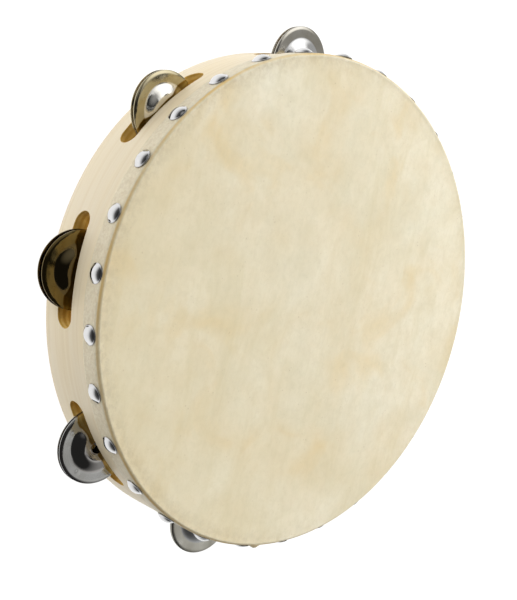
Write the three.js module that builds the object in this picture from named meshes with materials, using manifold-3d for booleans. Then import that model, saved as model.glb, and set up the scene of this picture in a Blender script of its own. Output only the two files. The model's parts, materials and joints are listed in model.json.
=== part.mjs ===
// Tambourine: a bent plywood shell with a tacked skin head and eight pairs of steel jingles.
// Millimetres, +Z up. The origin is on the shell's axis, in the plane of its open edge, so the
// tambourine lies on a table with its head on top. Angles are counter-clockwise from +X, seen
// from above the head.

import * as THREE from 'three';
import { mergeVertices } from 'three/addons/utils/BufferGeometryUtils.js';
import Module from 'manifold-3d';

const wasm = await Module();
wasm.setup();

// ---- Driving dimensions ----

const FIT_GAP = 0.3; // between pieces that touch

const HEAD_RADIUS = 127; // outside of the skin: a 10 inch head
const TOTAL_DEPTH = 45.5; // open edge to playing surface
const SKIN_THICKNESS = 0.6;
const SKIRT_DEPTH = 11.75; // how far the skin is folded down the shell
const FOLD_RADIUS = 2.1; // outside of the fold
const FOLD_STEPS = 2;

const WALL_THICKNESS = 7.4;
const EDGE_CHAMFER = 0.5; // on the open edge
const FLATS_PER_TACK = 3; // the ring's sides, so that each tack is on the middle of one

const JINGLE_PAIRS = 8;
const JINGLE_PITCH = 41.45; // degrees from slot to slot
const GRIP_ANGLE = 112.5; // middle of the plain stretch that the hand holds

const SLOT_BOTTOM = 11.1;
const SLOT_TOP = 22.1;
const SLOT_LENGTH = 54;
const SLOT_END_STEPS = 3; // per quarter turn

const JINGLE_RADIUS = 18.8;
const JINGLE_HOLE_RADIUS = 3;
const JINGLE_THICKNESS = 0.5;
const JINGLE_SEGMENTS = 16;
const DOME_RADIUS = 11.4;
const DOME_HEIGHT = 2.3;
const DOME_SHOULDER_RADIUS = 7.4;
const DOME_SHOULDER_HEIGHT = 1.5;
const RIM_CURL = 0.35; // the edge bends this far towards the other disc
const RIM_CURL_WIDTH = 0.9;

// Where each pair lies on its nail at rest, in the play that its wide hole gives it: the disc's
// centre from the nail, outwards and sideways, and the heights of its two flanges.
const RESTING_PLACES = [
  { outwards: -0.9, sideways: 0.8, front: 18.6, rear: 15.4 },
  { outwards: -1.3, sideways: -0.3, front: 19.1, rear: 15.8 },
  { outwards: -1.3, sideways: 1, front: 19.1, rear: 15.8 },
  { outwards: -1.4, sideways: 0, front: 18.5, rear: 14.2 },
  { outwards: 1.7, sideways: 0, front: 16.4, rear: 14 },
  { outwards: -0.3, sideways: -1.6, front: 15.6, rear: 14 },
  { outwards: 0.6, sideways: -1.2, front: 17.4, rear: 14.9 },
  { outwards: -1, sideways: -0.7, front: 18.9, rear: 16.4 },
];

const PIN_INSET = 3; // from the shell's outer face to the nail's axis
const PIN_RADIUS = 1;
const PIN_HEAD_RADIUS = 2;
const PIN_HEAD_THICKNESS = 0.8;
const PIN_POINT_LENGTH = 1.5;
const PIN_TOP = 32.5;
const PIN_SEGMENTS = 8;
const PIN_CLEARANCE = 0.45;

const TACK_COUNT = 29;
const FIRST_TACK_ANGLE = 271;
const TACK_DROP = 5.5; // below the playing surface
const TACK_RADIUS = 4.75;
const TACK_DOME_HEIGHT = 2.4;
const TACK_LIP_RADIUS = 4.4;
const TACK_LIP_HEIGHT = 1;
const TACK_SHOULDER_RADIUS = 2.8;
const TACK_SHOULDER_HEIGHT = 2;
const TACK_SHANK_RADIUS = 0.7;
const TACK_SHANK_LENGTH = 4.6;
const TACK_POINT_LENGTH = 1.2;
const TACK_SEGMENTS = 8;
const TACK_HOLE_RADIUS = 1.2;
const TACK_HOLE_SIDES = 6;

const CUTTER_OVERRUN = 1; // how far a hole's cutter passes the surface that it opens
const SLOT_CUTTER_DEPTH = 4; // in wall thicknesses, so that it passes the bent wall on both sides

// ---- Worked out from them ----

const SHELL_RADIUS = HEAD_RADIUS - SKIN_THICKNESS - FIT_GAP;
const SHELL_INNER_RADIUS = SHELL_RADIUS - WALL_THICKNESS;
const SHELL_TOP = TOTAL_DEPTH - SKIN_THICKNESS - FIT_GAP;
const PIN_CIRCLE_RADIUS = SHELL_RADIUS - PIN_INSET;
const FOLD_CENTRE_RADIUS = HEAD_RADIUS - FOLD_RADIUS;
const FOLD_CENTRE_HEIGHT = TOTAL_DEPTH - FOLD_RADIUS;
const SKIRT_BOTTOM = TOTAL_DEPTH - SKIRT_DEPTH;
const TACK_HEIGHT = TOTAL_DEPTH - TACK_DROP;
const TACK_PITCH = 360 / TACK_COUNT;
const RING_SIDES = TACK_COUNT * FLATS_PER_TACK;
const FLAT_ANGLE = 360 / RING_SIDES;
const RING_START = FIRST_TACK_ANGLE - FLAT_ANGLE / 2;
const SKIN_FLAT_DISTANCE = HEAD_RADIUS * Math.cos(THREE.MathUtils.degToRad(FLAT_ANGLE / 2));
const TACK_SEAT = SKIN_FLAT_DISTANCE + FIT_GAP;

const PLYWOOD = { color: 0xe6d3b4, roughness: 0.62, metalness: 0 };
const RAWHIDE = { color: 0xded3b3, roughness: 0.55, metalness: 0 };
const CHROMED_STEEL = { color: 0xd6d8da, roughness: 0.12, metalness: 1 };
const NICKELLED_STEEL = { color: 0x8f8775, roughness: 0.25, metalness: 1 };
const NAIL_STEEL = { color: 0x9a9a9c, roughness: 0.4, metalness: 1 };

// ---- Helpers ----

// Turns a profile of [radius, height] points, listed counter-clockwise, about the Z axis.
function turned(profile, segments, startDegrees = 0) {
  const points = profile.map(([radius, height]) => new THREE.Vector2(radius, height));
  const start = THREE.MathUtils.degToRad(startDegrees + 90);
  return new THREE.LatheGeometry(points, segments, start).rotateX(Math.PI / 2);
}

// Points on a quarter circle in the profile plane, with both of its ends.
function foldArc(radius, fromDegrees, toDegrees) {
  const points = [];
  for (let step = 0; step <= FOLD_STEPS; step += 1) {
    const degrees = THREE.MathUtils.lerp(fromDegrees, toDegrees, step / FOLD_STEPS);
    const angle = THREE.MathUtils.degToRad(degrees);
    points.push([
      FOLD_CENTRE_RADIUS + radius * Math.cos(angle),
      FOLD_CENTRE_HEIGHT + radius * Math.sin(angle),
    ]);
  }
  return points;
}

// Makes a manifold solid of a closed geometry, leaving out triangles that have no area.
function toSolid(geometry) {
  const bare = geometry.clone();
  bare.deleteAttribute('normal');
  bare.deleteAttribute('uv');
  const merged = mergeVertices(bare, 1e-4);
  const corners = merged.index.array;
  const triangles = [];
  for (let i = 0; i < corners.length; i += 3) {
    const [a, b, c] = [corners[i], corners[i + 1], corners[i + 2]];
    if (a !== b && b !== c && c !== a) {
      triangles.push(a, b, c);
    }
  }
  return new wasm.Manifold(new wasm.Mesh({
    numProp: 3,
    vertProperties: new Float32Array(merged.attributes.position.array),
    triVerts: new Uint32Array(triangles),
  }));
}

function toGeometry(solid) {
  const { vertProperties, triVerts } = solid.getMesh();
  const geometry = new THREE.BufferGeometry();
  geometry.setAttribute('position', new THREE.BufferAttribute(vertProperties, 3));
  geometry.setIndex(new THREE.BufferAttribute(triVerts, 1));
  geometry.computeVertexNormals();
  return geometry;
}

// Takes each of the cutters out of the blank.
function cutFrom(blank, cutters) {
  let solid = toSolid(blank);
  for (const cutter of cutters) {
    solid = solid.subtract(toSolid(cutter));
  }
  return toGeometry(solid);
}

function named(name, geometry, finish) {
  const mesh = new THREE.Mesh(geometry, new THREE.MeshStandardMaterial(finish));
  mesh.name = name;
  return mesh;
}

// A group whose own +X points out from the axis at the given angle.
function spoke(degrees) {
  const group = new THREE.Group();
  group.rotation.z = THREE.MathUtils.degToRad(degrees);
  return group;
}

function jingleAngle(number) {
  const slotsFromMiddle = number - (JINGLE_PAIRS + 1) / 2;
  return GRIP_ANGLE + 180 + slotsFromMiddle * JINGLE_PITCH;
}

function tackAngle(number) {
  return FIRST_TACK_ANGLE + (number - 1) * TACK_PITCH;
}

// ---- Cutters for the shell and the skirt ----

// A round-ended slot, cut straight through the wall.
function slotCutter(degrees) {
  const endRadius = (SLOT_TOP - SLOT_BOTTOM) / 2;
  const straight = SLOT_LENGTH / 2 - endRadius;
  const outline = new THREE.Shape();
  outline.absarc(straight, 0, endRadius, -Math.PI / 2, Math.PI / 2, false);
  outline.absarc(-straight, 0, endRadius, Math.PI / 2, Math.PI * 1.5, false);
  const depth = WALL_THICKNESS * SLOT_CUTTER_DEPTH;
  const cutter = new THREE.ExtrudeGeometry(outline, {
    depth,
    bevelEnabled: false,
    curveSegments: SLOT_END_STEPS,
  });
  cutter.translate(0, 0, PIN_CIRCLE_RADIUS - depth / 2);
  cutter.rotateX(Math.PI / 2); // the slot's width now lies along Z
  cutter.rotateZ(Math.PI / 2); // and its depth along +X
  cutter.translate(0, 0, (SLOT_BOTTOM + SLOT_TOP) / 2);
  return cutter.rotateZ(THREE.MathUtils.degToRad(degrees));
}

// The nail's hole, with a wider mouth for its head at the open edge.
function pinHoleCutter(degrees) {
  const mouth = PIN_HEAD_RADIUS + PIN_CLEARANCE;
  const mouthTop = FIT_GAP * 2 + PIN_HEAD_THICKNESS;
  const bore = PIN_RADIUS + PIN_CLEARANCE;
  const profile = [
    [0, -CUTTER_OVERRUN],
    [mouth, -CUTTER_OVERRUN],
    [mouth, mouthTop],
    [bore, mouthTop],
    [bore, PIN_TOP + FIT_GAP],
    [0, PIN_TOP + FIT_GAP],
  ];
  const cutter = turned(profile, PIN_SEGMENTS);
  cutter.translate(PIN_CIRCLE_RADIUS, 0, 0);
  return cutter.rotateZ(THREE.MathUtils.degToRad(degrees));
}

// A blind hole for one tack's shank, from outside the skin into the wood.
function tackHoleCutter(degrees) {
  const inner = TACK_SEAT - TACK_SHANK_LENGTH - FIT_GAP;
  const outer = HEAD_RADIUS + CUTTER_OVERRUN;
  const cutter = new THREE.CylinderGeometry(
    TACK_HOLE_RADIUS,
    TACK_HOLE_RADIUS,
    outer - inner,
    TACK_HOLE_SIDES,
  );
  cutter.rotateZ(Math.PI / 2);
  cutter.translate((outer + inner) / 2, 0, TACK_HEIGHT);
  return cutter.rotateZ(THREE.MathUtils.degToRad(degrees));
}

const tackNumbers = Array.from({ length: TACK_COUNT }, (_, index) => index + 1);
const jingleNumbers = Array.from({ length: JINGLE_PAIRS }, (_, index) => index + 1);
const tackHoles = tackNumbers.map((number) => tackHoleCutter(tackAngle(number)));

// ---- Shell: a plywood ring, rounded where the skin bends over it ----

function makeShell() {
  const woodFold = FOLD_RADIUS - SKIN_THICKNESS - FIT_GAP;
  const ring = [
    [SHELL_INNER_RADIUS + EDGE_CHAMFER, 0],
    [SHELL_RADIUS - EDGE_CHAMFER, 0],
    [SHELL_RADIUS, EDGE_CHAMFER],
    ...foldArc(woodFold, 0, 90),
    [SHELL_INNER_RADIUS, SHELL_TOP],
    [SHELL_INNER_RADIUS, EDGE_CHAMFER],
  ];
  ring.push(ring[0]);
  const slots = jingleNumbers.map((number) => slotCutter(jingleAngle(number)));
  const pinHoles = jingleNumbers.map((number) => pinHoleCutter(jingleAngle(number)));
  const blank = turned(ring, RING_SIDES, RING_START);
  return named('shell', cutFrom(blank, [...slots, ...pinHoles, ...tackHoles]), PLYWOOD);
}

// ---- Head: a flat skin with its edge folded down the shell ----

function makeHeadSkin() {
  const innerFold = FOLD_RADIUS - SKIN_THICKNESS;
  const cap = [
    [0, TOTAL_DEPTH - SKIN_THICKNESS],
    ...foldArc(innerFold, 90, 0),
    [HEAD_RADIUS - SKIN_THICKNESS, SKIRT_BOTTOM],
    [HEAD_RADIUS, SKIRT_BOTTOM],
    ...foldArc(FOLD_RADIUS, 0, 90),
    [0, TOTAL_DEPTH],
  ];
  const blank = turned(cap, RING_SIDES, RING_START);
  return named('head_skin', cutFrom(blank, tackHoles), RAWHIDE);
}

// ---- Tacks: a low dome on a pointed shank, pointing out along +X ----

function tackGeometry() {
  const profile = [
    [0, -TACK_SHANK_LENGTH],
    [TACK_SHANK_RADIUS, TACK_POINT_LENGTH - TACK_SHANK_LENGTH],
    [TACK_SHANK_RADIUS, 0],
    [TACK_RADIUS, 0],
    [TACK_LIP_RADIUS, TACK_LIP_HEIGHT],
    [TACK_SHOULDER_RADIUS, TACK_SHOULDER_HEIGHT],
    [0, TACK_DOME_HEIGHT],
  ];
  const tack = turned(profile, TACK_SEGMENTS);
  tack.rotateY(Math.PI / 2);
  return toGeometry(toSolid(tack));
}

function makeTacks() {
  const geometry = tackGeometry();
  return tackNumbers.map((number) => {
    const tack = named(`tack_${String(number).padStart(2, '0')}`, geometry, CHROMED_STEEL);
    tack.position.set(TACK_SEAT, 0, TACK_HEIGHT);
    return spoke(tackAngle(number)).add(tack);
  });
}

// ---- Jingles: stamped discs, each with a domed middle, a flat flange and a curled edge ----

// The disc's upper face is domed upwards; its middle surface is given here, from hole to edge.
function jingleGeometry() {
  const middle = [
    [JINGLE_HOLE_RADIUS, DOME_HEIGHT],
    [DOME_SHOULDER_RADIUS, DOME_SHOULDER_HEIGHT],
    [DOME_RADIUS, 0],
    [JINGLE_RADIUS - RIM_CURL_WIDTH, 0],
    [JINGLE_RADIUS, -RIM_CURL],
  ];
  const half = JINGLE_THICKNESS / 2;
  const under = middle.map(([radius, height]) => [radius, height - half]);
  const over = middle.map(([radius, height]) => [radius, height + half]).reverse();
  return toGeometry(toSolid(turned([...under, ...over, under[0]], JINGLE_SEGMENTS)));
}

// A nail with a flat head at the bottom and its point at the top.
function pinGeometry() {
  const headTop = FIT_GAP + PIN_HEAD_THICKNESS;
  const profile = [
    [0, FIT_GAP],
    [PIN_HEAD_RADIUS, FIT_GAP],
    [PIN_HEAD_RADIUS, headTop],
    [PIN_RADIUS, headTop],
    [PIN_RADIUS, PIN_TOP - PIN_POINT_LENGTH],
    [0, PIN_TOP],
  ];
  return toGeometry(toSolid(turned(profile, PIN_SEGMENTS)));
}

function makeJingles() {
  const disc = jingleGeometry();
  const nail = pinGeometry();
  return jingleNumbers.map((number) => {
    const place = RESTING_PLACES[number - 1];
    const discDistance = PIN_CIRCLE_RADIUS + place.outwards;
    const front = named(`jingle_${number}_front`, disc, NICKELLED_STEEL);
    front.position.set(discDistance, place.sideways, place.front);
    const rear = named(`jingle_${number}_rear`, disc, NICKELLED_STEEL);
    rear.position.set(discDistance, place.sideways, place.rear);
    rear.rotation.x = Math.PI; // hollow side up, facing the front disc
    const pin = named(`jingle_pin_${number}`, nail, NAIL_STEEL);
    pin.position.set(PIN_CIRCLE_RADIUS, 0, 0);
    return spoke(jingleAngle(number)).add(front, rear, pin);
  });
}

const tambourine = new THREE.Group();
tambourine.name = 'tambourine';
tambourine.add(makeShell(), makeHeadSkin(), ...makeTacks(), ...makeJingles());

export default tambourine;
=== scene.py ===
"""Tambourine: the finished surfaces and the studio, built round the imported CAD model.

The row frame is the CAD's: metres, +Z up through the head, the open edge on z = 0. Angles are
counter-clockwise from +X, seen from above the head.
"""

import json
import math
import random

import bmesh
import bpy
from mathutils import Matrix, Vector, noise


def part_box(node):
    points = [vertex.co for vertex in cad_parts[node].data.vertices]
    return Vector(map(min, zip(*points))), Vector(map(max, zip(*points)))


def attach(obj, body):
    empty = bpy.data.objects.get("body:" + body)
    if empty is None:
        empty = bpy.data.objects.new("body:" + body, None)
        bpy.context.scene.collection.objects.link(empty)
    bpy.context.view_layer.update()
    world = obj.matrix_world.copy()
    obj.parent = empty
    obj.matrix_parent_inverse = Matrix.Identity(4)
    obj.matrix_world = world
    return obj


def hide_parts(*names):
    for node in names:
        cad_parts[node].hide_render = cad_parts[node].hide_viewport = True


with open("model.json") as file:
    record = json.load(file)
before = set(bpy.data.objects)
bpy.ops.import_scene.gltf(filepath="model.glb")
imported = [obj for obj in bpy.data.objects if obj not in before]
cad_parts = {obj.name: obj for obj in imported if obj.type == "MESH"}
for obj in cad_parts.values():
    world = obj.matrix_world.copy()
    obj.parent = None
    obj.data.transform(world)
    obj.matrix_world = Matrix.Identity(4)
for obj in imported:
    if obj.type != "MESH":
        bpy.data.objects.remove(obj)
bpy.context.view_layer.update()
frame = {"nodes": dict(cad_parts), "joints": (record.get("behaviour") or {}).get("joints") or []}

MM = 0.001


# ---- What the frame says ----


def reach(node):
    """The least and the greatest distance of a CAD node's corners from the Z axis."""
    corners = frame["nodes"][node].data.vertices
    distances = [math.hypot(corner.co.x, corner.co.y) for corner in corners]
    return min(distances), max(distances)


def middle(node):
    """The average of a CAD node's corners. On a turned piece it lies on the piece's own axis."""
    corners = frame["nodes"][node].data.vertices
    return sum((corner.co for corner in corners), Vector()) / len(corners)


HEAD_RADIUS = reach("head_skin")[1]
HEAD_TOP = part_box("head_skin")[1].z
SKIRT_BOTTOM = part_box("head_skin")[0].z
SHELL_INNER, SHELL_OUTER = reach("shell")
SHELL_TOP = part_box("shell")[1].z
JINGLE_AXES = {
    joint["child"].split("_")[1]: Vector(joint["pos_m"])
    for joint in frame["joints"]
    if joint["type"] == "hinge"
}
TACK_NODES = sorted(node for node in frame["nodes"] if node.startswith("tack_"))

# Sizes that the frame doesn't state. All but the dome's are the CAD's own.
SLOT_BOTTOM = 11.1 * MM
SLOT_TOP = 22.1 * MM
SLOT_LENGTH = 54 * MM
FOLD_RADIUS = 2.1 * MM
SKIN_THICKNESS = 0.6 * MM
TACK_RADIUS = 4.75 * MM
TACK_DOME_HEIGHT = 2.4 * MM
JINGLE_RADIUS = 18.8 * MM
JINGLE_HOLE_RADIUS = 3 * MM
JINGLE_THICKNESS = 0.5 * MM
RIM_CURL = 0.35 * MM
PIN_RADIUS = 1 * MM
PIN_HEAD_RADIUS = 2 * MM
PIN_HEAD_THICKNESS = 0.8 * MM
DOME_HEIGHT = 1.9 * MM  # lower than the CAD's, so that a leaning disc stays clear of its slot
DOME_FOOT = 13.5 * MM  # the flange starts here
DOME_CREST = 6.2 * MM  # the dome's side starts to fall here

SEED = 28
rng = random.Random(SEED)


def bearing(point):
    """A point's angle about the Z axis, in radians."""
    return math.atan2(point.y, point.x)


def polar(radius, angle, height=0.0):
    return Vector((radius * math.cos(angle), radius * math.sin(angle), height))


# ---- Camera ----

CAMERA_DISTANCE = 0.5591  # from the middle of the playing surface
CAMERA_TILT = math.radians(45.40)  # from straight above it
CAMERA_BEARING = math.radians(266.41)
LOOK_TILT = math.radians(42.78)
LOOK_BEARING = math.radians(85.93)
UP_BEARING = math.radians(196.8)  # this way on the head is up in the picture
LENS = 65.54
SENSOR = 36.0


def make_camera():
    data = bpy.data.cameras.new("camera")
    data.lens = LENS
    data.sensor_width = SENSOR
    data.clip_start = 0.02
    data.clip_end = 50
    camera = bpy.data.objects.new("camera", data)
    bpy.context.scene.collection.objects.link(camera)
    aside = CAMERA_DISTANCE * math.sin(CAMERA_TILT)
    above = CAMERA_DISTANCE * math.cos(CAMERA_TILT)
    place = Vector((0, 0, HEAD_TOP)) + polar(aside, CAMERA_BEARING, above)
    forward = polar(math.sin(LOOK_TILT), LOOK_BEARING, -math.cos(LOOK_TILT))
    right = forward.cross(polar(1, UP_BEARING)).normalized()
    up = right.cross(forward)
    turn = Matrix((right, up, -forward)).transposed()
    camera.matrix_world = Matrix.Translation(place) @ turn.to_4x4()
    bpy.context.scene.camera = camera


make_camera()


# ---- Mesh helpers ----

TINY = 1e-9  # a radius or a difference below this counts as nothing


def add_object(name, mesh):
    piece = bpy.data.objects.new(name, mesh)
    bpy.context.scene.collection.objects.link(piece)
    return piece


def mesh_of(name, quads, weld):
    """A smooth mesh of faces, each a list of points and a material index, welded where they meet."""
    shape = bmesh.new()
    for points, material_index in quads:
        face = shape.faces.new([shape.verts.new(point) for point in points])
        face.material_index = material_index
        face.smooth = True
    bmesh.ops.remove_doubles(shape, verts=shape.verts, dist=weld)
    bmesh.ops.dissolve_degenerate(shape, edges=shape.edges, dist=weld)
    bmesh.ops.recalc_face_normals(shape, faces=shape.faces)
    mesh = bpy.data.meshes.new(name)
    shape.to_mesh(mesh)
    shape.free()
    return mesh


def strip(first, second, material_index, closed=False):
    """Quads between two rows of points that run side by side."""
    count = len(first)
    quads = []
    for i in range(count if closed else count - 1):
        j = (i + 1) % count
        quads.append(([first[i], first[j], second[j], second[i]], material_index))
    return quads


def turned_mesh(name, profile, segments, closed=False):
    """Turns a profile of (radius, height) about the Z axis. A point of radius 0 becomes a pole."""
    shape = bmesh.new()
    rings = []
    angles = [math.tau * k / segments for k in range(segments)]
    for radius, height in profile:
        if radius < TINY:
            rings.append([shape.verts.new((0, 0, height))] * segments)
        else:
            rings.append([shape.verts.new(polar(radius, angle, height)) for angle in angles])
    pairs = list(zip(rings, rings[1:]))
    if closed:
        pairs.append((rings[-1], rings[0]))
    for lower, upper in pairs:
        for k in range(segments):
            after = (k + 1) % segments
            corners = [lower[k], lower[after], upper[after], upper[k]]
            distinct = list(dict.fromkeys(corners))
            if len(distinct) > 2:
                shape.faces.new(distinct).smooth = True
    bmesh.ops.recalc_face_normals(shape, faces=shape.faces)
    mesh = bpy.data.meshes.new(name)
    shape.to_mesh(mesh)
    shape.free()
    return mesh


def arc(centre, radius, start_degrees, end_degrees, steps):
    """Points on an arc in the (radius, height) plane, with both ends."""
    points = []
    for step in range(steps + 1):
        angle = math.radians(start_degrees + (end_degrees - start_degrees) * step / steps)
        points.append((centre[0] + radius * math.cos(angle), centre[1] + radius * math.sin(angle)))
    return points


# ---- Material helpers ----


class Finish:
    """A material with a Principled shader, and short calls that add nodes to it."""

    def __init__(self, name):
        self.material = bpy.data.materials.new(name)
        self.material.use_nodes = True
        self.tree = self.material.node_tree
        self.shader = self.tree.nodes["Principled BSDF"]

    def node(self, kind, inputs=None, output=0, **settings):
        """Adds a node. An input's value is a number, a colour, or another node's output.

        output is the name or the number of the output it returns, or a slice for several.
        """
        made = self.tree.nodes.new(kind)
        for key, value in settings.items():
            setattr(made, key, value)
        for key, value in (inputs or {}).items():
            self.feed(made.inputs[key], value)
        return made.outputs[output]

    def feed(self, socket, value):
        if isinstance(value, bpy.types.NodeSocket):
            self.tree.links.new(value, socket)
        else:
            socket.default_value = value

    def set(self, **values):
        """Feeds the shader's inputs, named with underscores for spaces."""
        for key, value in values.items():
            self.feed(self.shader.inputs[key.replace("_", " ")], value)

    def coordinates(self):
        return self.node("ShaderNodeTexCoord", output="Object")

    def scaled(self, vector, scale):
        return self.node("ShaderNodeMapping", {"Vector": vector, "Scale": scale})

    def split(self, vector):
        """The X, Y and Z of a place or a direction."""
        return self.node("ShaderNodeSeparateXYZ", {0: vector}, output=slice(None))

    def noise(self, vector, scale, detail=3.0, roughness=0.5, distortion=0.0):
        inputs = {
            "Vector": vector,
            "Scale": scale,
            "Detail": detail,
            "Roughness": roughness,
            "Distortion": distortion,
        }
        return self.node("ShaderNodeTexNoise", inputs)

    def math(self, operation, *values):
        made = self.tree.nodes.new("ShaderNodeMath")
        made.operation = operation
        for socket, value in zip(made.inputs, values):
            self.feed(socket, value)
        return made.outputs[0]

    def radius(self, x, y):
        """How far a place is from the Z axis."""
        squares = [self.math("MULTIPLY", part, part) for part in (x, y)]
        return self.math("SQRT", self.math("ADD", *squares))

    def ranged(self, value, low, high, to_low=0.0, to_high=1.0):
        inputs = {
            "Value": value,
            "From Min": low,
            "From Max": high,
            "To Min": to_low,
            "To Max": to_high,
        }
        return self.node("ShaderNodeMapRange", inputs, clamp=True)

    def mix(self, share, first, second):
        made = self.tree.nodes.new("ShaderNodeMix")
        made.data_type = "RGBA"
        self.feed(made.inputs["Factor"], share)
        self.feed(made.inputs[6], first)
        self.feed(made.inputs[7], second)
        return made.outputs[2]

    def bump(self, height, strength, distance, normal=None):
        inputs = {"Height": height, "Strength": strength, "Distance": distance}
        if normal is not None:
            inputs["Normal"] = normal
        return self.node("ShaderNodeBump", inputs)


def srgb(red, green, blue):
    """A colour given in 0 to 255 display values, as linear RGBA."""
    linear = []
    for channel in (red, green, blue):
        value = channel / 255
        linear.append(value / 12.92 if value <= 0.04045 else ((value + 0.055) / 1.055) ** 2.4)
    return (*linear, 1.0)


# ---- Materials ----

HIDE_SCATTER = (4 * MM, 3 * MM, 2 * MM)
CREASE_DROP = 0.9 * MM  # the painted shade line along the fold is this far below the playing surface
CREASE_CORE = 0.3 * MM
CREASE_EDGE = 0.9 * MM
PLY_BANDS = 5  # light and dark by turns, from the inside to the outside
EDGE_SHADE_REACH = 1.12  # the painted edge shade is full this many times further out than where it starts
EDGE_SHADE_SHARE = 0.25
WORN_SHARE = 0.85  # of the worn colour, inside a jingle's dome
WORN_FADE = 0.6 * MM
# Where the painted shade at a tack's edge starts.
TACK_EDGE_SHADE_START = TACK_RADIUS * 0.88


def rawhide():
    """Natural skin: cloudy cream with fibre streaks, pores and stains, pebbly where it folds down."""
    finish = Finish("rawhide")
    place = finish.coordinates()
    x, y, z = finish.split(place)
    from_edge = finish.math("SUBTRACT", HEAD_RADIUS, finish.radius(x, y))
    below_top = finish.math("SUBTRACT", HEAD_TOP, z)
    cloud = finish.noise(place, 16, 4, 0.55, 0.4)
    blotch = finish.noise(place, 62, 5, 0.6, 0.6)
    fibre = finish.noise(finish.scaled(place, (70, 300, 70)), 1.0, 5, 0.65, 1.2)
    streak = finish.noise(finish.scaled(place, (14, 55, 20)), 1.0, 6, 0.65, 1.0)
    grain = finish.noise(place, 900, 3, 0.6)
    mottle = finish.noise(place, 340, 4, 0.7, 0.3)
    stain = finish.noise(place, 24, 3, 0.5, 0.8)
    colour = finish.mix(finish.ranged(cloud, 0.35, 0.65), srgb(236, 228, 202), srgb(247, 242, 222))
    colour = finish.mix(finish.ranged(streak, 0.5, 0.72, 0, 0.4), colour, srgb(219, 209, 172))
    colour = finish.mix(finish.ranged(stain, 0.56, 0.74, 0, 0.55), colour, srgb(233, 211, 160))
    colour = finish.mix(finish.ranged(blotch, 0.4, 0.68, 0, 0.35), colour, srgb(217, 211, 184))
    colour = finish.mix(finish.ranged(fibre, 0.42, 0.75, 0, 0.12), colour, srgb(200, 190, 154))
    colour = finish.mix(finish.ranged(mottle, 0.45, 0.75, 0, 0.3), colour, srgb(210, 203, 174))
    cells = {"Vector": place, "Scale": 420.0, "Randomness": 1.0}
    pores = finish.node("ShaderNodeTexVoronoi", cells, output="Distance")
    sparse = finish.ranged(finish.noise(place, 130, 2), 0.55, 0.7)
    dots = finish.math("MULTIPLY", finish.ranged(pores, 0.10, 0.2, 1, 0), sparse)
    colour = finish.mix(finish.math("MULTIPLY", dots, 0.34), colour, srgb(150, 130, 96))
    # Painted shade: the head is darker and warmer towards +X and -Y, the side away from the key light.
    shaded_side = finish.ranged(finish.math("SUBTRACT", x, y), 0.0, HEAD_RADIUS * 1.4, 0, 0.36)
    colour = finish.mix(shaded_side, colour, srgb(229, 211, 160))
    # A greyer, mottled band just inside the fold, strongest towards -Y. Then a warm, darker line along
    # the fold itself: painted shade of the fold.
    band = finish.ranged(from_edge, 2 * MM, 10 * MM, 1, 0)
    greyer_band = finish.math("MULTIPLY", band, finish.ranged(mottle, 0.4, 0.6, 0.2, 0.6))
    one_side = finish.ranged(y, -HEAD_RADIUS * 0.5, HEAD_RADIUS * 0.5, 1, 0.1)
    colour = finish.mix(finish.math("MULTIPLY", greyer_band, one_side), colour, srgb(200, 190, 164))
    # Painted shade along the fold: a warm, darker line, made blotchy by the stain noise.
    from_crease = finish.math("ABSOLUTE", finish.math("SUBTRACT", below_top, CREASE_DROP))
    crease_shade = finish.ranged(from_crease, CREASE_CORE, CREASE_EDGE, 1, 0)
    crease_shade = finish.math("MULTIPLY", crease_shade, finish.ranged(stain, 0.35, 0.6, 0.45, 0.9))
    colour = finish.mix(crease_shade, colour, srgb(222, 190, 126))
    skirt = finish.ranged(below_top, 1.9 * MM, 2.9 * MM)
    pebble = finish.noise(place, 620, 3, 0.6)
    pale = finish.mix(finish.ranged(pebble, 0.35, 0.65), srgb(228, 213, 182), srgb(246, 235, 208))
    colour = finish.mix(finish.math("MULTIPLY", skirt, 0.75), colour, pale)
    finish.set(Base_Color=colour, Roughness=finish.ranged(blotch, 0.3, 0.7, 0.46, 0.62))
    finish.set(Specular_IOR_Level=0.3, Subsurface_Weight=0.08, Subsurface_Radius=HIDE_SCATTER)
    normal = finish.bump(grain, 0.18, 0.12 * MM)
    normal = finish.bump(finish.math("MULTIPLY", pebble, skirt), 0.5, 0.4 * MM, normal)
    finish.set(Normal=finish.bump(fibre, 0.15, 0.3 * MM, normal))
    return finish.material


def veneer(name, light, dark, warm):
    """The shell's faces: pale wood whose grain runs round the ring."""
    finish = Finish(name)
    place = finish.coordinates()
    grain = finish.noise(finish.scaled(place, (14, 14, 520)), 1.0, 6, 0.62, 0.5)
    lines = finish.noise(finish.scaled(place, (30, 30, 1900)), 1.0, 4, 0.6, 0.2)
    cloud = finish.noise(finish.scaled(place, (16, 16, 40)), 1.0, 3, 0.5, 0.6)
    colour = finish.mix(finish.ranged(cloud, 0.3, 0.7), light, warm)
    colour = finish.mix(finish.ranged(grain, 0.46, 0.72, 0, 0.5), colour, dark)
    colour = finish.mix(finish.ranged(lines, 0.5, 0.75, 0, 0.25), colour, dark)
    finish.set(Base_Color=colour, Roughness=finish.ranged(grain, 0.3, 0.7, 0.42, 0.6))
    finish.set(Specular_IOR_Level=0.35, Coat_Weight=0.12, Coat_Roughness=0.3)
    finish.set(Normal=finish.bump(lines, 0.2, 0.12 * MM))
    return finish.material


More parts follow.
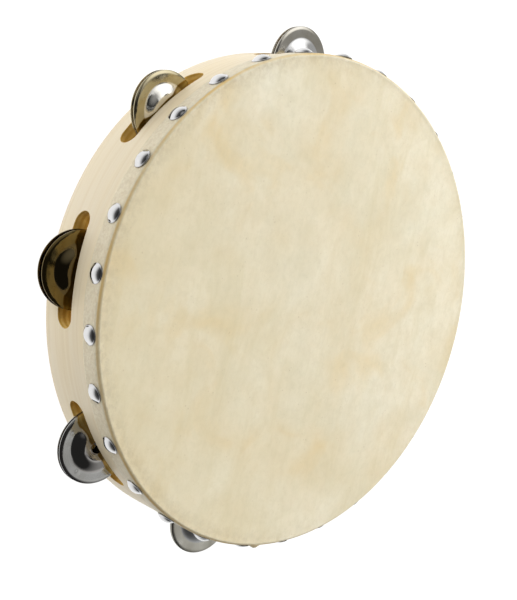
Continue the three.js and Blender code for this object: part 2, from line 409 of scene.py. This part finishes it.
def ply_edge(name, light, dark, scorch):
    """A cut edge of the shell: plies, seen as bands across the wall's thickness."""
    finish = Finish(name)
    place = finish.coordinates()
    x, y, _ = finish.split(place)
    depth = finish.math("SUBTRACT", finish.radius(x, y), SHELL_INNER)
    wander = finish.math("MULTIPLY", finish.noise(place, 90, 3), 0.6 * MM)
    band_width = (SHELL_OUTER - SHELL_INNER) / PLY_BANDS
    ply = finish.math("DIVIDE", finish.math("ADD", depth, wander), band_width)
    band = finish.math("PINGPONG", ply, 1.0)
    fibre = finish.noise(finish.scaled(place, (500, 500, 90)), 1.0, 4, 0.65)
    burn = finish.noise(finish.scaled(place, (60, 60, 60)), 1.0, 3, 0.6, 1.0)
    colour = finish.mix(finish.ranged(band, 0.35, 0.65), light, dark)
    colour = finish.mix(finish.ranged(fibre, 0.4, 0.75, 0, 0.5), colour, dark)
    colour = finish.mix(finish.ranged(burn, 0.4, 0.66, 0, 0.75), colour, scorch)
    finish.set(Base_Color=colour, Roughness=0.72, Specular_IOR_Level=0.25)
    finish.set(Normal=finish.bump(fibre, 0.4, 0.2 * MM))
    return finish.material


def bright_metal(name, colour, shade, roughness, rings=0.0, patina=0.0, edge_shade_from=None, worn=None):
    """Plated steel. rings is the strength of the fine turned rings about the piece's own Z axis.

    patina is how strong its brown spots are. edge_shade_from is the distance from that axis where
    painted shade starts to darken the piece towards its edge. worn is the colour inside a jingle's
    dome.
    """
    finish = Finish(name)
    place = finish.coordinates()
    smear = finish.noise(place, 75, 3, 0.5, 0.4)
    tint = finish.mix(finish.ranged(smear, 0.3, 0.7), colour, shade)
    if patina:
        spots = finish.noise(place, 620, 5, 0.65, 0.8)
        tint = finish.mix(finish.ranged(spots, 0.6, 0.78, 0, patina), tint, srgb(70, 58, 40))
    x, y, _ = finish.split(place)
    from_axis = finish.radius(x, y)
    if worn:
        dome = finish.ranged(from_axis, DOME_FOOT - WORN_FADE, DOME_FOOT, WORN_SHARE, 0)
        tint = finish.mix(dome, tint, worn)
    # Painted shade: the metal darkens into a dark ring towards its edge, where the tack's rim meets the
    # skin.
    if edge_shade_from:
        edge_shade = finish.ranged(from_axis, edge_shade_from, edge_shade_from * EDGE_SHADE_REACH, 0, EDGE_SHADE_SHARE)
        tint = finish.mix(edge_shade, tint, srgb(52, 50, 48))
    finish.set(Base_Color=tint, Metallic=1.0)
    finish.set(Roughness=finish.ranged(smear, 0.3, 0.7, roughness * 0.7, roughness * 1.5))
    if rings:
        across = finish.node("ShaderNodeCombineXYZ", {"X": from_axis})
        finish.set(Normal=finish.bump(finish.noise(across, 3200, 2, 0.7), rings, 0.05 * MM))
    return finish.material


RAWHIDE = rawhide()
SHELL_FACE = veneer("shell_veneer", srgb(241, 228, 201), srgb(228, 208, 170), srgb(243, 226, 190))
SHELL_INSIDE = veneer("shell_inside", srgb(226, 204, 164), srgb(190, 156, 108), srgb(214, 184, 138))
# The slot's edge takes darker, more orange copies of the rim's ply colours: the cut plies' own colour,
# deepened with painted shade of the slot.
SHELL_SLOT = ply_edge("shell_slot_edge", srgb(236, 206, 128), srgb(208, 170, 88), srgb(170, 134, 62))
SHELL_RIM = ply_edge("shell_rim_edge", srgb(230, 208, 168), srgb(196, 160, 110), srgb(214, 180, 128))
# The tacks' plating, with painted shade in a dark ring at each tack's edge.
CHROME = bright_metal(
    "tack_nickel", srgb(226, 226, 226), srgb(206, 206, 206), 0.07, edge_shade_from=TACK_EDGE_SHADE_START
)
NAIL = bright_metal("nail_steel", srgb(170, 170, 172), srgb(120, 118, 116), 0.3, patina=0.5)


# ---- Shell ----

SLOT_EDGE_ROUND = 0.35 * MM
SLOT_MARGIN = 3.4 * MM  # plain wood beside a slot's end, inside its patch
PATCH_COLUMNS = 44
PATCH_ROWS = 16
PATCH_RINGS = 8
PATCH_CROWDING = 1.6  # above 1, the rings crowd towards the slot
SLOT_EDGE_STEPS = 4
SLOT_WALL_STEPS = 5
SHELL_WELD = 0.001 * MM
PLAIN_STEP = math.radians(1.0)
RIM_ROUND = 0.7 * MM
SHELL_FOLD_ROUND = 1.2 * MM
NAIL_MOUTH_RADIUS = PIN_HEAD_RADIUS + 0.25 * MM
NAIL_MOUTH_DEPTH = 1.3 * MM
FACE, INSIDE, SLOT_WALL, RIM = range(4)


def wall_point(centre_angle, across, height, radius):
    """A point on the wall, across from the slot's middle plane."""
    return polar(radius, centre_angle + math.asin(across / radius), height)


def slot_point(across, height, grow):
    """The nearest place to (across, height) on the slot's outline, grown outwards by grow."""
    middle_height = (SLOT_BOTTOM + SLOT_TOP) / 2
    end_radius = (SLOT_TOP - SLOT_BOTTOM) / 2
    straight = SLOT_LENGTH / 2 - end_radius
    centre = max(-straight, min(straight, across))
    reach_across, reach_up = across - centre, height - middle_height
    length = math.hypot(reach_across, reach_up)
    factor = (end_radius + grow) / length
    return centre + reach_across * factor, middle_height + reach_up * factor


def patch_outline(half_angle, low, high, radius):
    """The (across, height) points round a slot's patch, counter-clockwise from its lower left."""
    angles = [half_angle * (2 * k / PATCH_COLUMNS - 1) for k in range(PATCH_COLUMNS)]
    heights = [low + (high - low) * k / PATCH_ROWS for k in range(PATCH_ROWS)]
    side = radius * math.sin(half_angle)
    points = [(radius * math.sin(a), low) for a in angles]
    points += [(side, h) for h in heights]
    points += [(radius * math.sin(-a), high) for a in angles]
    points += [(-side, low + high - h) for h in heights]
    return points


def slot_patch(centre_angle, half_angle, low, high):
    """The wall round one slot, on both faces, and the slot's own rounded walls."""
    quads = []
    thickness = SHELL_OUTER - SHELL_INNER
    outer_outline = patch_outline(half_angle, low, high, SHELL_OUTER)
    for radius, index in ((SHELL_OUTER, FACE), (SHELL_INNER, INSIDE)):
        outline = patch_outline(half_angle, low, high, radius)
        rings = []
        for step in range(PATCH_RINGS + 1):
            share = (step / PATCH_RINGS) ** PATCH_CROWDING
            ring = []
            for (across, height), outer in zip(outer_outline, outline):
                hole = slot_point(across, height, SLOT_EDGE_ROUND)
                y = hole[0] + (outer[0] - hole[0]) * share
                z = hole[1] + (outer[1] - hole[1]) * share
                ring.append(wall_point(centre_angle, y, z, radius))
            rings.append(ring)
        for first, second in zip(rings, rings[1:]):
            quads += strip(first, second, index, closed=True)
    # Each step is how far the slot's outline is grown, and how deep in the wall it lies.
    edge = []
    for k in range(SLOT_EDGE_STEPS + 1):
        angle = math.radians(90 * k / SLOT_EDGE_STEPS)
        edge.append((SLOT_EDGE_ROUND * (1 - math.sin(angle)), SLOT_EDGE_ROUND * (1 - math.cos(angle))))
    straight = thickness - 2 * SLOT_EDGE_ROUND
    depths = [SLOT_EDGE_ROUND + straight * k / SLOT_WALL_STEPS for k in range(1, SLOT_WALL_STEPS)]
    steps = edge + [(0.0, depth) for depth in depths]
    steps += [(grow, thickness - depth) for grow, depth in reversed(edge)]
    walls = []
    for grow, depth in steps:
        points = [slot_point(across, height, grow) for across, height in outer_outline]
        walls.append([wall_point(centre_angle, y, z, SHELL_OUTER - depth) for y, z in points])
    for first, second in zip(walls, walls[1:]):
        quads += strip(first, second, SLOT_WALL, closed=True)
    return quads


def rim_profile(low, high):
    """(radius, height) points over the wall's open edge, and over its top, outside to inside."""
    open_edge = arc((SHELL_OUTER - RIM_ROUND, low), RIM_ROUND, 0, -90, 4)
    open_edge += [((SHELL_OUTER + SHELL_INNER) / 2, low - RIM_ROUND)]
    open_edge += arc((SHELL_INNER + RIM_ROUND, low), RIM_ROUND, -90, -180, 4)
    top = arc((SHELL_OUTER - SHELL_FOLD_ROUND, high), SHELL_FOLD_ROUND, 0, 90, 5)
    top += arc((SHELL_INNER + SHELL_FOLD_ROUND, high), SHELL_FOLD_ROUND, 90, 180, 5)
    return open_edge, top


def cut_nail_mouths(shell):
    """Sinks a round mouth into the open edge for each nail's head."""
    shape = bmesh.new()
    for axis in JINGLE_AXES.values():
        bmesh.ops.create_cone(
            shape,
            cap_ends=True,
            segments=40,
            radius1=NAIL_MOUTH_RADIUS,
            radius2=NAIL_MOUTH_RADIUS,
            depth=2 * NAIL_MOUTH_DEPTH,
            matrix=Matrix.Translation((axis.x, axis.y, 0)),
        )
    for face in shape.faces:
        face.material_index = RIM
    mesh = bpy.data.meshes.new("nail_mouths")
    shape.to_mesh(mesh)
    shape.free()
    for finish in shell.data.materials:
        mesh.materials.append(finish)
    cutter = add_object("nail_mouths", mesh)
    cut = shell.modifiers.new("mouths", "BOOLEAN")
    cut.operation = "DIFFERENCE"
    cut.solver = "EXACT"
    cut.object = cutter
    finished = shell.evaluated_get(bpy.context.evaluated_depsgraph_get())
    cut_mesh = bpy.data.meshes.new_from_object(finished)
    shell.modifiers.clear()
    shell.data = cut_mesh
    bpy.data.objects.remove(cutter)


def make_shell():
    low, high = RIM_ROUND, SHELL_TOP - SHELL_FOLD_ROUND
    half_angle = math.asin((SLOT_LENGTH / 2 + SLOT_MARGIN) / SHELL_OUTER)
    centres = sorted(bearing(axis) % math.tau for axis in JINGLE_AXES.values())
    quads = []
    columns = []
    for index, centre in enumerate(centres):
        quads += slot_patch(centre, half_angle, low, high)
        columns += [centre + half_angle * (2 * k / PATCH_COLUMNS - 1) for k in range(PATCH_COLUMNS)]
        start = centre + half_angle
        end = centres[(index + 1) % len(centres)] - half_angle
        end += math.tau if end < start else 0
        count = math.ceil((end - start) / PLAIN_STEP)
        plain = [start + (end - start) * k / count for k in range(count + 1)]
        columns += plain[:-1]
        for radius, face in ((SHELL_OUTER, FACE), (SHELL_INNER, INSIDE)):
            rows = []
            for k in range(PATCH_ROWS + 1):
                height = low + (high - low) * k / PATCH_ROWS
                rows.append([polar(radius, angle, height) for angle in plain])
            for first, second in zip(rows, rows[1:]):
                quads += strip(first, second, face)
    for profile in rim_profile(low, high):
        rows = [[polar(radius, angle, height) for angle in columns] for radius, height in profile]
        for first, second in zip(rows, rows[1:]):
            quads += strip(first, second, RIM, closed=True)
    mesh = mesh_of("shell_wood", quads, SHELL_WELD)
    for finish in (SHELL_FACE, SHELL_INSIDE, SHELL_SLOT, SHELL_RIM):
        mesh.materials.append(finish)
    shell = add_object("shell_ring", mesh)
    cut_nail_mouths(shell)
    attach(shell, "root")
    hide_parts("shell")


# ---- Head ----

HEAD_COLUMNS = 504
SKIRT_ROWS = 16
FOLD_ROWS = 8
FLAT_RINGS = 46
FLAT_CROWDING = 0.8  # below 1, the rings crowd towards the fold
TACK_ANGLES = [bearing(middle(node)) for node in TACK_NODES]
TACK_SINK = 0.5 * MM  # a tack sits this much lower than the CAD tack
TACK_HEIGHT = middle(TACK_NODES[0]).z - TACK_SINK
DENT_DEPTH = 0.12 * MM  # under each tack
DENT_REACH_ROUND = 4.6 * MM
DENT_REACH_UP = 4.4 * MM
SWELL_HEIGHT = 0.10 * MM  # between the tacks
SWELL_START = 6.5 * MM
MOST_PROUD = 0.05 * MM  # how far outside the CAD's skin the skirt may come, but for its pleat
HEAD_SIT = 0.15 * MM  # the playing surface lies this much lower than in the CAD
PLEAT_BEARING = math.radians(0.9)  # the hide gathers into one small pleat, between two tacks
PLEAT_HEIGHT = 1.8 * MM
PLEAT_WIDTH = 2.4 * MM
SKIRT_SIT = 0.25 * MM  # the skirt lies this much closer to the wood than in the CAD


def head_profile():
    """(radius, height, how far down the skirt from 0 to 1) from the middle out to the cut edge."""
    flat = HEAD_RADIUS - FOLD_RADIUS
    rings = [flat * (k / FLAT_RINGS) ** FLAT_CROWDING for k in range(FLAT_RINGS)]
    points = [(radius, HEAD_TOP, 0.0) for radius in rings]
    fold = arc((flat, HEAD_TOP - FOLD_RADIUS), FOLD_RADIUS, 90, 0, FOLD_ROWS)
    points += [(radius, height, 0.0) for radius, height in fold]
    start = HEAD_TOP - FOLD_RADIUS
    for k in range(1, SKIRT_ROWS + 1):
        share = k / SKIRT_ROWS
        points.append((HEAD_RADIUS, start + (SKIRT_BOTTOM - start) * share, share))
    return points


def nearest_tack(angle):
    """How far round the skirt a place is from the nearest tack's middle."""
    turns = [abs((angle - tack + math.pi) % math.tau - math.pi) for tack in TACK_ANGLES]
    return min(turns) * HEAD_RADIUS


def shaped_skin(radius, height, share, angle, inner):
    """One point of the skin's outer or inner surface, with its dents, ripples and uneven edge."""
    spot = polar(radius, angle, height)
    ripple = noise.noise(spot * 28) * 0.10 * MM + noise.noise(spot * 90) * 0.04 * MM
    if height >= HEAD_TOP - TINY:
        drop = SKIN_THICKNESS if inner else 0.0
        return Vector((spot.x, spot.y, height - HEAD_SIT + ripple - drop))
    wander = noise.noise(polar(3.1, angle, 1.7)) * 0.30 * MM
    wander += noise.noise(polar(9.0, angle, 5.2)) * 0.16 * MM
    side = max(0.0, min(1.0, (HEAD_TOP - height) / FOLD_RADIUS))
    away = nearest_tack(angle)
    dent = math.exp(-((away / DENT_REACH_ROUND) ** 2) - ((height - TACK_HEIGHT) / DENT_REACH_UP) ** 2)
    swell = (1 - math.exp(-((away / SWELL_START) ** 2))) * math.sin(math.pi * min(1, share + 0.15))
    out = wander * side - SKIRT_SIT * side - DENT_DEPTH * dent + SWELL_HEIGHT * swell
    from_pleat = ((angle - PLEAT_BEARING + math.pi) % math.tau - math.pi) * HEAD_RADIUS
    pleat = PLEAT_HEIGHT * side * math.exp(-((from_pleat / PLEAT_WIDTH) ** 4))
    # The cut edge is uneven.
    lift = noise.noise(polar(6.0, angle, 9.4)) * 0.45 * MM
    lift += noise.noise(polar(21.0, angle, 2.4)) * 0.25 * MM
    new_height = height + lift * share**2
    new_radius = radius + min(out, MOST_PROUD) + pleat
    if inner:
        slope = min(1.0, (HEAD_TOP - height) / FOLD_RADIUS)
        turn = math.asin(slope)
        new_radius -= SKIN_THICKNESS * math.sin(turn)
        new_height -= SKIN_THICKNESS * math.cos(turn)
    return polar(new_radius, angle, new_height)


def make_head():
    angles = [math.tau * k / HEAD_COLUMNS for k in range(HEAD_COLUMNS)]
    profile = head_profile()
    shape = bmesh.new()
    surfaces = []
    for inner in (False, True):
        rings = []
        for radius, height, share in profile:
            if radius < TINY:
                pole = shape.verts.new(shaped_skin(0.0, height, share, 0.0, inner))
                rings.append([pole] * HEAD_COLUMNS)
            else:
                points = [shaped_skin(radius, height, share, angle, inner) for angle in angles]
                rings.append([shape.verts.new(point) for point in points])
        surfaces.append(rings)
    edges = [surfaces[0][-1], surfaces[1][-1]]
    for rings in (surfaces[0], surfaces[1], edges):
        for first, second in zip(rings, rings[1:]):
            for k in range(HEAD_COLUMNS):
                after = (k + 1) % HEAD_COLUMNS
                corners = [first[k], first[after], second[after], second[k]]
                distinct = list(dict.fromkeys(corners))
                shape.faces.new(distinct).smooth = True
    bmesh.ops.recalc_face_normals(shape, faces=shape.faces)
    mesh = bpy.data.meshes.new("head_hide")
    shape.to_mesh(mesh)
    shape.free()
    mesh.materials.append(RAWHIDE)
    head = add_object("head_hide", mesh)
    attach(head, "root")
    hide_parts("head_skin")


# ---- Tacks ----

TACK_SEGMENTS = 48
TACK_SHELL = 0.45 * MM  # the dome is pressed from sheet this thick
TACK_SHANK_RADIUS = 0.7 * MM
TACK_SHANK_LENGTH = 4.6 * MM
TACK_TILT = math.radians(2.5)
TACK_SHANK_TOP = 0.6 * MM
TACK_SEAT = HEAD_RADIUS - 0.2 * MM  # the CAD tack sits off the skin, and this one is driven home
TACK_EDGE = 0.3 * MM  # the roll of the dome's edge
TACK_EDGE_START = 7  # degrees up the dome from its widest, where the roll begins
TACK_HOLLOW_START = 8  # the same for the dome's hollow side
TACK_HOLLOW_END = 82  # degrees, beside the shank


def tack_mesh():
    """A pressed dome with a rolled edge, hollow underneath, on a pointed shank."""
    sphere = (TACK_RADIUS**2 + TACK_DOME_HEIGHT**2) / (2 * TACK_DOME_HEIGHT)
    widest = math.degrees(math.asin(TACK_RADIUS / sphere))
    centre = (0.0, TACK_DOME_HEIGHT - sphere)
    low = 90 - widest
    outside = arc(centre, sphere, 90, low + TACK_EDGE_START, 18)
    inside = arc(centre, sphere - TACK_SHELL, low + TACK_HOLLOW_START, TACK_HOLLOW_END, 10)
    rolled = arc((TACK_RADIUS - TACK_EDGE, TACK_EDGE), TACK_EDGE, 30, -150, 8)
    shank = [
        (TACK_SHANK_RADIUS, TACK_SHANK_TOP),
        (TACK_SHANK_RADIUS, -TACK_SHANK_LENGTH * 0.75),
        (0.0, -TACK_SHANK_LENGTH),
    ]
    outside[0] = (0.0, TACK_DOME_HEIGHT)
    return turned_mesh("tack_dome", outside + rolled + inside + shank, TACK_SEGMENTS)


def make_tacks():
    mesh = tack_mesh()
    mesh.materials.append(CHROME)
    for node in TACK_NODES:
        place = middle(node)
        angle = bearing(place)
        tack = add_object(f"{node}_dome", mesh)
        lean = Matrix.Rotation(rng.uniform(-TACK_TILT, TACK_TILT), 4, "X")
        lean @= Matrix.Rotation(rng.uniform(-TACK_TILT, TACK_TILT), 4, "Y")
        face_out = Matrix.Rotation(angle, 4, "Z") @ Matrix.Rotation(math.pi / 2, 4, "Y")
        seat = Matrix.Translation(polar(TACK_SEAT, angle, place.z - TACK_SINK))
        tack.matrix_world = seat @ face_out @ lean
        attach(tack, "root")
        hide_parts(node)


# ---- Jingles ----

JINGLE_SEGMENTS = 96
DIMPLE_COUNT = 4
DIMPLE_RADIUS = 0.5 * MM
DIMPLE_HEIGHT = 0.16 * MM
DIMPLE_CIRCLE = 14.6 * MM
LIP_END = JINGLE_HOLE_RADIUS + 0.8 * MM
LIP_HEIGHT = 0.1 * MM
CURL_START = JINGLE_RADIUS - 1.9 * MM
EDGE_CURL = 0.48 * MM
DISC_STEPS = (4, 4, 24, 5, 10)  # from each bend of the disc to the next
TURNED_RINGS = 0.35
# The flange's two colours, the dome's colour, the roughness and the patina.
FRESH_PLATE = (srgb(206, 202, 192), srgb(184, 178, 164), srgb(236, 236, 236), 0.08, 0.15)
PLATES = {
    "3": (srgb(196, 186, 156), srgb(172, 160, 124), srgb(232, 230, 224), 0.06, 0.2),
    "4": (srgb(132, 114, 70), srgb(110, 94, 56), srgb(110, 98, 72), 0.06, 0.2),
    "5": (srgb(196, 196, 194), srgb(172, 170, 164), srgb(180, 176, 172), 0.06, 0.15),
    "6": (srgb(212, 210, 200), srgb(196, 192, 178), srgb(196, 198, 200), 0.3, 0.1),
}
# How far each pair hangs over on its nail, outwards and sideways, in degrees.
LEANS = {
    "1": (-2, 1),
    "2": (-3, -3),
    "3": (-3, -3),
    "4": (4, 1.4),
    "5": (4, -2),
    "6": (0.6, -3.5),
    "7": (2, -1.5),
    "8": (-2.5, 2),
}


def disc_height(radius):
    """The height of a jingle's middle surface above its flat flange."""
    if radius > CURL_START:
        return -EDGE_CURL * ((radius - CURL_START) / (JINGLE_RADIUS - CURL_START)) ** 2
    along = min(1.0, max(0.0, (DOME_FOOT - radius) / (DOME_FOOT - DOME_CREST)))
    height = DOME_HEIGHT * along * along * (3 - 2 * along)
    if radius < LIP_END:
        height += LIP_HEIGHT * ((LIP_END - radius) / (LIP_END - JINGLE_HOLE_RADIUS)) ** 2
    return height


def disc_rings():
    """Radii from the hole to the edge, closer together where the disc bends."""
    bends = (JINGLE_HOLE_RADIUS, LIP_END, DOME_CREST, DOME_FOOT, CURL_START, JINGLE_RADIUS)
    radii = [JINGLE_HOLE_RADIUS]
    for start, end, steps in zip(bends, bends[1:], DISC_STEPS):
        radii += [start + (end - start) * k / steps for k in range(1, steps + 1)]
    return radii


def jingle_mesh(name, finish, phase):
    """A stamped disc about its own Z axis, its dome upwards, with four small stamped dimples."""
    half = JINGLE_THICKNESS / 2
    radii = disc_rings()
    upper = [(radius, disc_height(radius) + half) for radius in radii]
    lower = [(radius, disc_height(radius) - half) for radius in reversed(radii)]
    edge = arc((JINGLE_RADIUS - half / 2, -EDGE_CURL), half, 60, -60, 4)
    edge = [(min(radius, JINGLE_RADIUS), height) for radius, height in edge]
    mesh = turned_mesh(name, upper + edge[1:-1] + lower, JINGLE_SEGMENTS, closed=True)
    for vertex in mesh.vertices:
        for k in range(DIMPLE_COUNT):
            spot = polar(DIMPLE_CIRCLE, phase + math.tau * k / DIMPLE_COUNT)
            away = math.hypot(vertex.co.x - spot.x, vertex.co.y - spot.y)
            vertex.co.z += DIMPLE_HEIGHT * math.exp(-((away / DIMPLE_RADIUS) ** 2))
    mesh.materials.append(finish)
    return mesh


def jingle_finish(number):
    """Nickel plate that has aged differently from pair to pair."""
    bright, shade, worn, roughness, patina = PLATES.get(number, FRESH_PLATE)
    name = f"jingle_plate_{number}"
    return bright_metal(name, bright, shade, roughness, TURNED_RINGS, patina, worn=worn)


def disc_place(node, number, flip):
    """Where a disc's own frame is: its flange's middle, leaning over with the rest of its pair."""
    low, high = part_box(node)
    half = JINGLE_THICKNESS / 2
    height = high.z - RIM_CURL - half if flip else low.z + RIM_CURL + half
    spot = (low + high) / 2
    outwards, sideways = (math.tan(math.radians(lean)) for lean in LEANS[number])
    angle = bearing(JINGLE_AXES[number])
    normal = Vector((0, 0, 1)) + polar(outwards, angle) + polar(sideways, angle + math.pi / 2)
    lean = Vector((0, 0, 1)).rotation_difference(normal).to_matrix().to_4x4()
    turn = Matrix.Rotation(math.pi, 4, "X") if flip else Matrix.Identity(4)
    return Matrix.Translation((spot.x, spot.y, height)) @ lean @ turn


def make_jingles():
    for number in JINGLE_AXES:
        finish = jingle_finish(number)
        for side, flip in (("front", False), ("rear", True)):
            node = f"jingle_{number}_{side}"
            mesh = jingle_mesh(f"{node}_disc", finish, rng.uniform(0, math.tau))
            disc = add_object(f"{node}_disc", mesh)
            disc.matrix_world = disc_place(node, number, flip)
            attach(disc, f"{side}_{number}")
            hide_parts(node)


# ---- Nails ----

PIN_SEGMENTS = 32
PIN_HEAD_ROUND = 0.2 * MM
PIN_POINT_LENGTH = 1.5 * MM


def make_pins():
    for number, axis in JINGLE_AXES.items():
        node = f"jingle_pin_{number}"
        low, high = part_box(node)
        head_top = low.z + PIN_HEAD_THICKNESS
        edge = PIN_HEAD_RADIUS - PIN_HEAD_ROUND
        profile = [(0.0, low.z)]
        profile += arc((edge, low.z + PIN_HEAD_ROUND), PIN_HEAD_ROUND, -90, 0, 3)
        profile += arc((edge, head_top - PIN_HEAD_ROUND), PIN_HEAD_ROUND, 0, 90, 3)
        profile += [(PIN_RADIUS, head_top), (PIN_RADIUS, high.z - PIN_POINT_LENGTH)]
        profile += [(PIN_RADIUS * 0.45, high.z - PIN_POINT_LENGTH / 3), (0.0, high.z)]
        mesh = turned_mesh(f"{node}_nail", profile, PIN_SEGMENTS)
        mesh.materials.append(NAIL)
        pin = add_object(f"{node}_nail", mesh)
        pin.location = (axis.x, axis.y, 0)
        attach(pin, f"pin_{number}")
        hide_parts(node)


# ---- Studio ----

FLOOR_REACH = 6  # metres
FLOOR_BRIGHT = 0.165  # seen in the metal, the floor is bright up to this distance from the axis
FLOOR_DIM = 0.42  # and dim from this distance on
FLOOR_DIM_GLOW = 0.3
ROOM_GLOW = 0.03  # the dark of the room, overhead and behind the camera
SIDE_FADE = 10  # degrees, at a backdrop's two ends


def make_floor():
    finish = Finish("studio_paper")
    fleck = finish.noise(finish.coordinates(), 3.0, 2)
    finish.set(Base_Color=finish.mix(fleck, srgb(112, 112, 112), srgb(106, 106, 106)), Roughness=0.9)
    x, y, _ = finish.split(finish.coordinates())
    glow = finish.ranged(finish.radius(x, y), FLOOR_BRIGHT, FLOOR_DIM, 1.0, FLOOR_DIM_GLOW)
    seen = finish.node("ShaderNodeLightPath", output="Is Camera Ray")
    finish.set(Specular_IOR_Level=0.1, Emission_Color=(1, 1, 1, 1))
    finish.set(Emission_Strength=finish.math("MAXIMUM", glow, seen))
    ways = ((-1, -1), (1, -1), (1, 1), (-1, 1))
    corners = [(FLOOR_REACH * x_way, FLOOR_REACH * y_way, 0) for x_way, y_way in ways]
    mesh = bpy.data.meshes.new("floor")
    mesh.from_pydata(corners, [], [(0, 1, 2, 3)])
    mesh.materials.append(finish.material)
    add_object("floor", mesh)


def soft_box(name, bearing_degrees, elevation_degrees, distance, size, watts):
    """A square area light that faces the tambourine."""
    data = bpy.data.lights.new(name, "AREA")
    data.shape = "SQUARE"
    data.size = size
    data.energy = watts
    light = bpy.data.objects.new(name, data)
    bpy.context.scene.collection.objects.link(light)
    elevation = math.radians(elevation_degrees)
    direction = polar(math.cos(elevation), math.radians(bearing_degrees), math.sin(elevation))
    light.location = Vector((0, 0, HEAD_TOP / 2)) + direction * distance
    light.rotation_mode = "QUATERNION"
    light.rotation_quaternion = direction.to_track_quat("Z", "Y")
    light.visible_glossy = False  # the metal mirrors the studio's panels instead


def rise(degrees):
    """The height of a direction at this elevation, on a ball of radius 1."""
    return math.sin(math.radians(degrees))


def nearness(degrees):
    """The dot product of two directions this far apart."""
    return math.cos(math.radians(degrees))


class Studio(Finish):
    """The surroundings: dark, with soft pale panels that the metal mirrors.

    Seen directly, they are white.
    """

    def __init__(self, name):
        self.world = bpy.data.worlds.new(name)
        self.world.use_nodes = True
        self.tree = self.world.node_tree
        self.shader = self.tree.nodes["Background"]
        self.direction = self.node("ShaderNodeTexCoord", output="Generated")
        self.height = self.split(self.direction)[2]
        self.total = ROOM_GLOW

    def vector_math(self, operation, *vectors, output=0):
        return self.node("ShaderNodeVectorMath", dict(enumerate(vectors)), output, operation=operation)

    def closeness(self, direction, aim):
        return self.vector_math("DOT_PRODUCT", direction, aim, output="Value")

    def panel(self, bearing_degrees, elevation_degrees, core_degrees, edge_degrees, radiance):
        """A round panel, even inside its core and fading out to its edge."""
        aim = polar(nearness(elevation_degrees), math.radians(bearing_degrees), rise(elevation_degrees))
        close = self.closeness(self.direction, aim)
        share = self.ranged(close, nearness(edge_degrees), nearness(core_degrees), 0, radiance)
        self.total = self.math("ADD", self.total, share)

    def backdrop(self, bearing_degrees, half_width, low, high, soft, radiance):
        """A curved panel between two elevations, with soft edges. Angles are in degrees."""
        level = self.vector_math("NORMALIZE", self.vector_math("MULTIPLY", self.direction, (1, 1, 0)))
        close = self.closeness(level, polar(1, math.radians(bearing_degrees)))
        outer, inner = nearness(half_width + SIDE_FADE), nearness(half_width - SIDE_FADE)
        share = self.ranged(close, outer, inner, 0, radiance)
        above = self.ranged(self.height, rise(low - soft), rise(low + soft))
        below = self.ranged(self.height, rise(high - soft), rise(high + soft), 1, 0)
        share = self.math("MULTIPLY", share, self.math("MULTIPLY", above, below))
        self.total = self.math("ADD", self.total, share)

    def hang(self):
        seen = self.node("ShaderNodeLightPath", output="Is Camera Ray")
        self.feed(self.shader.inputs["Strength"], self.math("MAXIMUM", self.total, seen))
        self.feed(self.shader.inputs["Color"], (1, 1, 1, 1))
        bpy.context.scene.world = self.world


def make_lights():
    studio = Studio("studio")
    # Bearing, elevation, even core and outer edge in degrees, and radiance.
    studio.panel(139, 41, 10, 25, 1.2)
    studio.panel(200, 48, 8, 38, 0.5)
    studio.panel(62, 46, 8, 20, 0.35)
    # Bearing, half width, lowest, highest and softness in degrees, and radiance.
    studio.backdrop(95, 60, -5, 61, 2.5, 0.36)
    studio.backdrop(95, 60, 62, 65, 1, 0.6)
    studio.backdrop(270, 80, -10, 8, 12, 0.14)
    studio.hang()
    # Bearing, elevation, distance, size and watts.
    soft_box("key", 139, 40, 1.1, 0.6, 8.6)
    soft_box("near_fill", 45, 40, 0.9, 0.4, 1.7)
    soft_box("side", 240, 20, 1.5, 0.6, 7)
    view_settings = bpy.context.scene.view_settings
    view_settings.view_transform = "Standard"
    view_settings.look = "None"


make_shell()
make_head()
make_tacks()
make_jingles()
make_pins()
make_floor()
make_lights()
